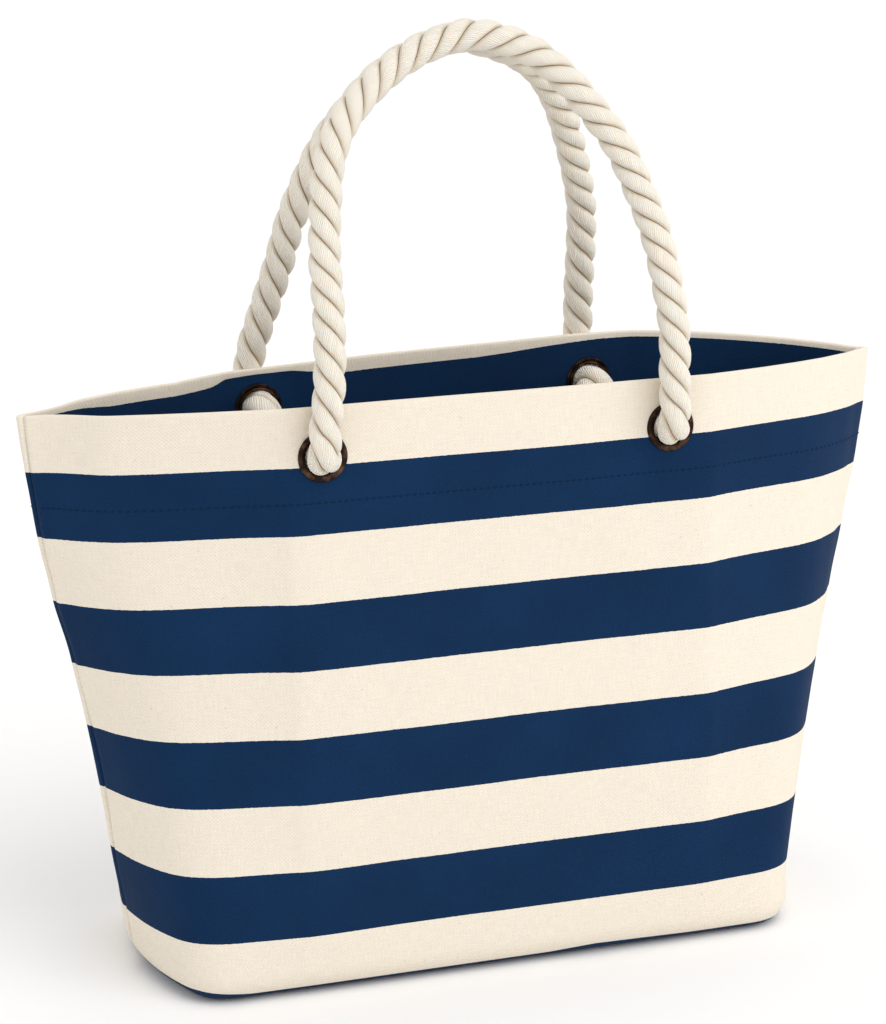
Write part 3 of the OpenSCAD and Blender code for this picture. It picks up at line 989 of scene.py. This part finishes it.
@dataclass
class EyeletSet:
    """An eyelet's domed ring and barrel outside, and the washer it is rolled over inside."""

    shape: BagShape
    face: Face
    end: End
    hole_r: float = 10.6
    barrel_t: float = 0.7
    ring_r: float = 14.9
    ring_h: float = 1.6
    edge_h: float = 0.35
    lip_r: float = 0.9
    washer_t: float = 1.0
    washer_edge: float = 0.4
    gap: float = 0.05
    steps: int = 72

    def _spun(self, name: str, profile: list[tuple[float, float]], material: Material) -> Piece:
        """Spins a closed outline of (radius, height outwards) about the eyelet's axis."""
        bm = bmesh.new()
        verts = [bm.verts.new((r * MM, -h * MM, 0)) for r, h in profile]
        edges = [bm.edges.new((a, b)) for a, b in zip(verts, verts[1:] + verts[:1])]
        bmesh.ops.spin(bm, geom=verts + edges, cent=(0, 0, 0), axis=(0, 1, 0), dvec=(0, 0, 0),
                       angle=2 * math.pi, steps=self.steps, use_merge=True)
        bmesh.ops.recalc_face_normals(bm, faces=bm.faces)
        there = self.shape.eyelet_matrix(self.face, self.end)
        there.translation *= MM
        bmesh.ops.transform(bm, matrix=there, verts=bm.verts)
        return finish_mesh(bm, name, material)

    def build(self, name: str, material: Material) -> list[Piece]:
        """Makes the ring and the washer.

        Args:
            name: The words for the eyelet's place.
            material: The metal finish.

        Returns:
            The ring and the washer.
        """
        middle, half = (self.hole_r + self.ring_r) / 2, (self.ring_r - self.hole_r) / 2
        back = -2 * self.shape.cloth - self.washer_t
        dome = [(middle + half * math.cos(math.radians(a)),
                 self.edge_h + (self.ring_h - self.edge_h) * math.sin(math.radians(a)) ** 0.8)
                for a in range(0, 181, 12)]
        barrel = self.hole_r + self.barrel_t
        lip = arc((self.hole_r + self.lip_r, back), self.lip_r, 180, 360, 6)
        seat = back + 0.02
        ring = self._spun(f"{name}_eyelet_ring", [
            (self.ring_r, 0.0), *dome, *lip, (self.hole_r + 2 * self.lip_r, seat), (barrel, seat),
            (barrel, -0.02)], material)
        outer, top, soft = self.ring_r - 0.4, back + self.washer_t - self.gap, self.washer_edge
        washer = self._spun(f"{name}_eyelet_washer", [
            (barrel + self.gap, back), (barrel + self.gap, top), (outer, top),
            *arc((outer - soft, back + soft), soft, 0, -90, 3)], material)
        return [ring, washer]


@dataclass
class KnotEnd:
    """The overhand knot that holds a rope end inside an eyelet, its tail and the tail's whipping."""

    shape: BagShape
    face: Face
    end: End
    rope: RopeHandle
    size: float = 4.6
    depth: float = 5.6
    drop: float = 20.0
    tight: float = 0.78
    twine: float = 0.95
    twine_turns: int = 8

    def _points(self) -> tuple[Array, float]:
        """The knot's line in the eyelet's own frame, and the distance of its middle inside the wall."""
        inside = self.shape.cloth * 2 + 2.1 + self.rope.radius
        turns = np.radians(np.linspace(28, 332, 40))
        x = self.size * (np.sin(turns) + 2 * np.sin(2 * turns))
        z = self.size * (np.cos(turns) - 2 * np.cos(2 * turns)) - self.drop
        y = inside + 3.5 + self.depth * np.sin(3 * turns)
        lead = np.array([(0, inside, -6), (0.5, inside + 0.5, -11)])
        tail = np.array([(0.5, inside + 1.0, -self.drop - 16), (0, inside, -self.drop - 24)])
        return np.vstack([lead, np.stack([x, y, z], axis=1), tail]), inside

    def build(self, name: str, rope: Material, twine: Material) -> list[Piece]:
        """Makes the knot and the whipping.

        Args:
            name: The words for the knot's place.
            rope: The rope finish.
            twine: The twine finish.

        Returns:
            The knot and the whipping.
        """
        there = self.shape.eyelet_matrix(self.face, self.end)
        turn = np.array(there)
        points, inside = self._points()
        line = through(points @ turn[:3, :3].T + turn[:3, 3], self.rope.spacing)
        taper = np.full(len(line), self.tight)
        knot = laid_rope(f"{name}_overhand_knot", line, self.rope, rope, taper)
        bm = bmesh.new()
        ring = self.rope.radius * 0.82
        for i in range(self.twine_turns):
            new = bmesh.ops.create_circle(bm, segments=8, radius=self.twine / 2 * MM)["verts"]
            bmesh.ops.rotate(bm, verts=new, cent=(0, 0, 0), matrix=Matrix.Rotation(math.pi / 2, 3, "X"))
            height = -self.drop - 14 - i * self.twine
            bmesh.ops.translate(bm, verts=new, vec=(ring * MM, 0, height * MM))
            edges = list({e for v in new for e in v.link_edges})
            bmesh.ops.spin(bm, geom=new + edges, cent=(0, 0, 0), axis=(0, 0, 1), dvec=(0, 0, 0),
                           angle=2 * math.pi, steps=28, use_merge=True)
        bmesh.ops.translate(bm, verts=bm.verts, vec=(0, (inside + 0.6) * MM, 0))
        bmesh.ops.recalc_face_normals(bm, faces=bm.faces)
        there.translation *= MM
        bmesh.ops.transform(bm, matrix=there, verts=bm.verts)
        return [knot, finish_mesh(bm, f"{name}_twine_whipping", twine)]


# bindings and their stitches


@dataclass
class Tape:
    """Cotton tape folded over a seam allowance, as a channel whose closed side faces up or inwards."""

    name: str
    spine: Array
    across: Array
    up: Array
    half: float = 2.15
    leg: float = 6.6
    thick: float = 0.9
    stitch_pitch: float = 3.8

    def _section(self) -> Array:
        """The channel's outline, from one leg's edge over the top to the other's: across and up."""
        leg = [(-self.half, -self.leg + i * (self.leg - self.half) / 4) for i in range(4)]
        return np.array([*leg, *arc((0, -self.half), self.half, 180, 0, 8), *[(-x, u) for x, u in leg[::-1]]])

    def build(self, material: Material) -> Piece:
        """Makes the tape of a tape finish."""
        section = self._section()
        bm, column, row = grid_mesh(len(section) - 1, len(self.spine) - 1)
        a, u = section[column, 0], section[column, 1]
        edge = smooth(-self.leg * 0.6, -self.leg, u)
        waver = np.array([noise.noise((r * 0.35, 3 * np.sign(k), 0.5)) for r, k in zip(row, a)])
        u = u + 0.8 * waver * edge
        place(bm, self.spine[row] + self.across[row] * a[:, None] + self.up[row] * u[:, None])
        bmesh.ops.recalc_face_normals(bm, faces=bm.faces)
        tape = finish_mesh(bm, self.name, material)
        thicken(tape, self.thick, 0.0)
        return tape

    def spots(self) -> list[Triple]:
        """The places of the stitches along both edges, as the function stitches takes them."""
        run = lengths(self.spine)
        at = np.arange(3, run[-1] - 3, self.stitch_pitch)
        spine, across, up = (np.stack([np.interp(at, run, v[:, i]) for i in range(3)], axis=1)
                             for v in (self.spine, self.across, self.up))
        along = unit(np.gradient(spine, axis=0))
        found = []
        for side in (-1, 1):
            middle = spine + across * side * (self.half + self.thick / 2 + 0.05) + up * (1.5 - self.leg)
            found += list(zip(middle, along, across * side))
        return found

    @staticmethod
    def side(shape: BagShape, end: End) -> "Tape":
        """The tape down one side seam, over the allowance's inner edge."""
        z = np.linspace(26, shape.height - shape.hem - 9, 90)
        w = 1 - z / shape.height
        x, y = shape.outline(16 + shape.seam_shift(w), w)
        inwards = shape.allowance + 4
        spine = np.stack([end.value * (x - inwards), end.value * y, z], axis=1)
        across, up = (np.tile(way, (len(z), 1)) for way in ((0.0, 1.0, 0.0), (-end.value, 0.0, 0.0)))
        return Tape(f"{end.name.lower()}_side_seam_tape", shape.settle(spine), across, up)

    @staticmethod
    def corner(shape: BagShape, end: End) -> "Tape":
        """The tape over the boxed corner seam at one end of the base."""
        tip = 16 if end is End.RIGHT else 48
        k = np.linspace(tip - 2.8, tip + 2.8, 60)
        w = np.full_like(k, 1 - 6 / shape.height)
        x, y = shape.outline(k, w)
        nx, ny = shape.normal(k, w)
        inset = shape.edge_r - 2.5 + shape.cloth
        spine = np.stack([x - nx * inset, y - ny * inset, np.full_like(k, 13.4)], axis=1)
        across, up = np.stack([nx, ny, np.zeros_like(k)], axis=1), np.tile((0.0, 0.0, 1.0), (len(k), 1))
        return Tape(f"{end.name.lower()}_corner_seam_tape", shape.settle(spine), across, up, leg=11.0)

    @staticmethod
    def base(shape: BagShape) -> "Tape":
        """The tape over the seam along the middle of the base."""
        reach = shape.base_l / 2 - 24
        x = np.linspace(-reach, reach, 100)
        spine = np.stack([x, np.zeros_like(x), np.full_like(x, 13.0)], axis=1)
        across, up = (np.tile(way, (len(x), 1)) for way in ((0.0, 1.0, 0.0), (0.0, 0.0, 1.0)))
        return Tape("base_seam_tape", shape.settle(spine), across, up, leg=7.5)


# studio


@dataclass(frozen=True)
class Studio:
    """Camera, soft light and a pale floor."""

    camera_at: tuple[float, float, float] = (-0.64936, -1.78955, 0.79066)
    aim: tuple[float, float, float] = (-0.01467, 0.0, 0.26501)
    lens: float = 114.52
    world_strength: float = 0.96
    floor_colour: str = "#F6F5F4"

    def _stand(self, name: str, data: bpy.types.ID, at: tuple[float, ...], to: tuple[float, ...]) -> Piece:
        """Stands a camera or a lamp at a place and points it at another."""
        made = bpy.data.objects.new(name, data)
        made.location = at
        made.rotation_mode = "QUATERNION"
        made.rotation_quaternion = (Vector(to) - Vector(at)).to_track_quat("-Z", "Y")
        bpy.context.scene.collection.objects.link(made)
        return made

    def camera(self) -> None:
        """Makes the camera and gives it to the scene."""
        data = bpy.data.cameras.new("studio_camera")
        data.lens = self.lens
        data.sensor_width = 36.0
        bpy.context.scene.camera = self._stand("studio_camera", data, self.camera_at, self.aim)

    def light(self) -> None:
        """Makes the white surroundings and the lamps."""
        world = bpy.data.worlds.new("white_studio")
        world.use_nodes = True
        background = world.node_tree.nodes["Background"]
        background.inputs[0].default_value = (1, 1, 1, 1)
        background.inputs[1].default_value = self.world_strength
        bpy.context.scene.world = world
        sun = bpy.data.lights.new("top_light", "SUN")
        sun.energy = 0.70
        sun.angle = math.radians(40)
        self._stand("top_light", sun, (0.6, -1.2, 2.0), (0, 0, 0.2))
        panel = bpy.data.lights.new("side_light", "AREA")
        panel.energy = 3.6
        panel.size = 0.8
        self._stand("side_light", panel, (1.15, -1.0, 0.7), (0.1, 0, 0.25))

    def floor(self) -> None:
        """Makes the pale floor."""
        bm = bmesh.new()
        bmesh.ops.create_grid(bm, x_segments=2, y_segments=2, size=30)
        material, _, _ = start_material("matt_white_floor", Base_Color=linear(self.floor_colour),
                                        Roughness=0.9, Specular_IOR_Level=0.1)
        finish_mesh(bm, "studio_floor", material, flat_shaded=True)

    def build(self) -> None:
        """Makes everything that isn't the bag."""
        self.camera()
        self.light()
        self.floor()
        bpy.context.scene.view_settings.view_transform = "Standard"


FRONT_CURVE = (
    (-1, 0, 0), (-1.017, 0.02, 0.07), (-0.994, 0.04, 0.14), (-0.972, 0.09, 0.26), (-0.963, 0.17, 0.38),
    (-0.958, 0.28, 0.5), (-0.928, 0.4, 0.61), (-0.878, 0.53, 0.72), (-0.768, 0.68, 0.81),
    (-0.578, 0.82, 0.89), (-0.368, 0.93, 0.95), (-0.168, 0.985, 0.985), (0.031, 1, 1),
    (0.221, 0.98, 0.98), (0.361, 0.93, 0.95), (0.511, 0.82, 0.89), (0.641, 0.68, 0.81),
    (0.761, 0.53, 0.72), (0.851, 0.4, 0.61), (0.921, 0.28, 0.5), (0.961, 0.17, 0.38),
    (0.988, 0.09, 0.26), (0.983, 0.04, 0.14), (0.983, 0.02, 0.07), (1, 0, 0))
REAR_CURVE = (
    (-1, 0, 0), (-1.02, 0.02, 0.07), (-1, 0.04, 0.14), (-0.928, 0.09, 0.26), (-0.858, 0.17, 0.38),
    (-0.808, 0.28, 0.5), (-0.738, 0.4, 0.61), (-0.648, 0.53, 0.72), (-0.538, 0.68, 0.81),
    (-0.418, 0.82, 0.89), (-0.268, 0.93, 0.95), (-0.118, 0.985, 0.985), (0.031, 1, 1),
    (0.202, 0.98, 0.98), (0.362, 0.93, 0.95), (0.531, 0.83, 0.895), (0.672, 0.68, 0.81),
    (0.772, 0.53, 0.72), (0.862, 0.4, 0.61), (0.931, 0.28, 0.5), (0.961, 0.17, 0.38),
    (0.971, 0.09, 0.26), (0.981, 0.04, 0.14), (0.992, 0.02, 0.07), (1, 0, 0))
# the rear handle stands 4 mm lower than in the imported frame
FRONT_RISE, REAR_RISE = 229.0, 225.0


class BeachBag:
    """The whole bag, piece by piece."""

    def __init__(self) -> None:
        """Reads the main sizes from the frame and makes the finishes."""
        low, high = (np.array(corner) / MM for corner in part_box("front_panel"))
        self.shape = BagShape(rim_w=high[0] - low[0], height=high[2], base_d=-2 * low[1])
        self.canvas = StripedCanvas().build()
        self.rope = LaidCotton().build()
        self.bronze = AntiqueBronze().build()
        self.tape = PlainCotton("cotton_seam_tape", "#E6DCC8").build()
        self.twine = PlainCotton("waxed_cotton_twine", "#EFE6D2", 0.5, 0.1).build()
        self.thread = PlainCotton("navy_sewing_thread", "#0A2240", 0.4, 0.05).build()

    def panels(self) -> None:
        """Makes the two canvas panels."""
        for face in Face:
            maker = CanvasPanel(self.shape, face)
            panel = hold(maker.build(self.canvas), "bag", "canvas", f"{maker.word}_panel")
            hold(maker.hem_stitches(self.thread), "bag", "canvas")
            area = sum(f.area for f in panel.data.polygons)
            LOG.info("%s: %.4f square metres of cloth", panel.name, area)

    def tapes(self) -> None:
        """Makes the five seam tapes."""
        tapes = {"base_seam_binding": Tape.base(self.shape)}
        for end in End:
            tapes[f"{end.name.lower()}_side_binding"] = Tape.side(self.shape, end)
            tapes[f"{end.name.lower()}_corner_binding"] = Tape.corner(self.shape, end)
        for node, tape in tapes.items():
            hold(tape.build(self.tape), "bag", "tape", node)
        spots = [spot for tape in tapes.values() for spot in tape.spots()]
        hold(stitches("tape_stitches", spots, 2.8, 0.6, self.twine), "bag", "tape")

    def eyelets(self) -> None:
        """Makes the four eyelets and their washers."""
        for face in Face:
            for end in End:
                where = f"{face.name.lower()}_{end.name.lower()}"
                ring, washer = EyeletSet(self.shape, face, end).build(where, self.bronze)
                hold(ring, "bag", "eyelet", f"{where}_eyelet")
                hold(washer, "bag", "eyelet", f"{where}_washer")

    def ropes(self) -> None:
        """Makes the two handles with their knots and whippings."""
        for face, curve, rise in ((Face.FRONT, FRONT_CURVE, FRONT_RISE), (Face.REAR, REAR_CURVE, REAR_RISE)):
            handle = RopeHandle(self.shape, face, curve, rise)
            rope, line = handle.build(self.rope)
            pieces = []
            for end in End:
                where = f"{handle.name}_{end.name.lower()}"
                knot, whipping = KnotEnd(self.shape, face, end, handle).build(where, self.rope, self.twine)
                hold(knot, "bag", "rope", f"{where}_knot")
                hold(whipping, "bag", "twine", f"{where}_whipping")
                pieces += [knot, whipping]
            pivot = handle.hinge() * MM
            f"{handle.name}_handle"
            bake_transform(rope)
            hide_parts(f"{handle.name}_handle_rope")
            length = float(lengths(line)[-1]) * MM
            hole = self.shape.eyelet_matrix(face, End.LEFT).translation * MM
            LOG.info("%s: %.3f m of rope", rope.name, length)

    def build(self) -> None:
        """Makes every piece."""
        self.panels()
        self.tapes()
        self.eyelets()
        self.ropes()


def main() -> None:
    """Builds the studio and the bag."""
    logging.basicConfig(level=logging.INFO, format="%(name)s: %(message)s")
    for name in ("Cube", "Light", "Camera"):
        if name in bpy.data.objects:
            bpy.data.objects.remove(bpy.data.objects[name])
    Studio().build()
    BeachBag().build()


if __name__ == "__main__":
    main()
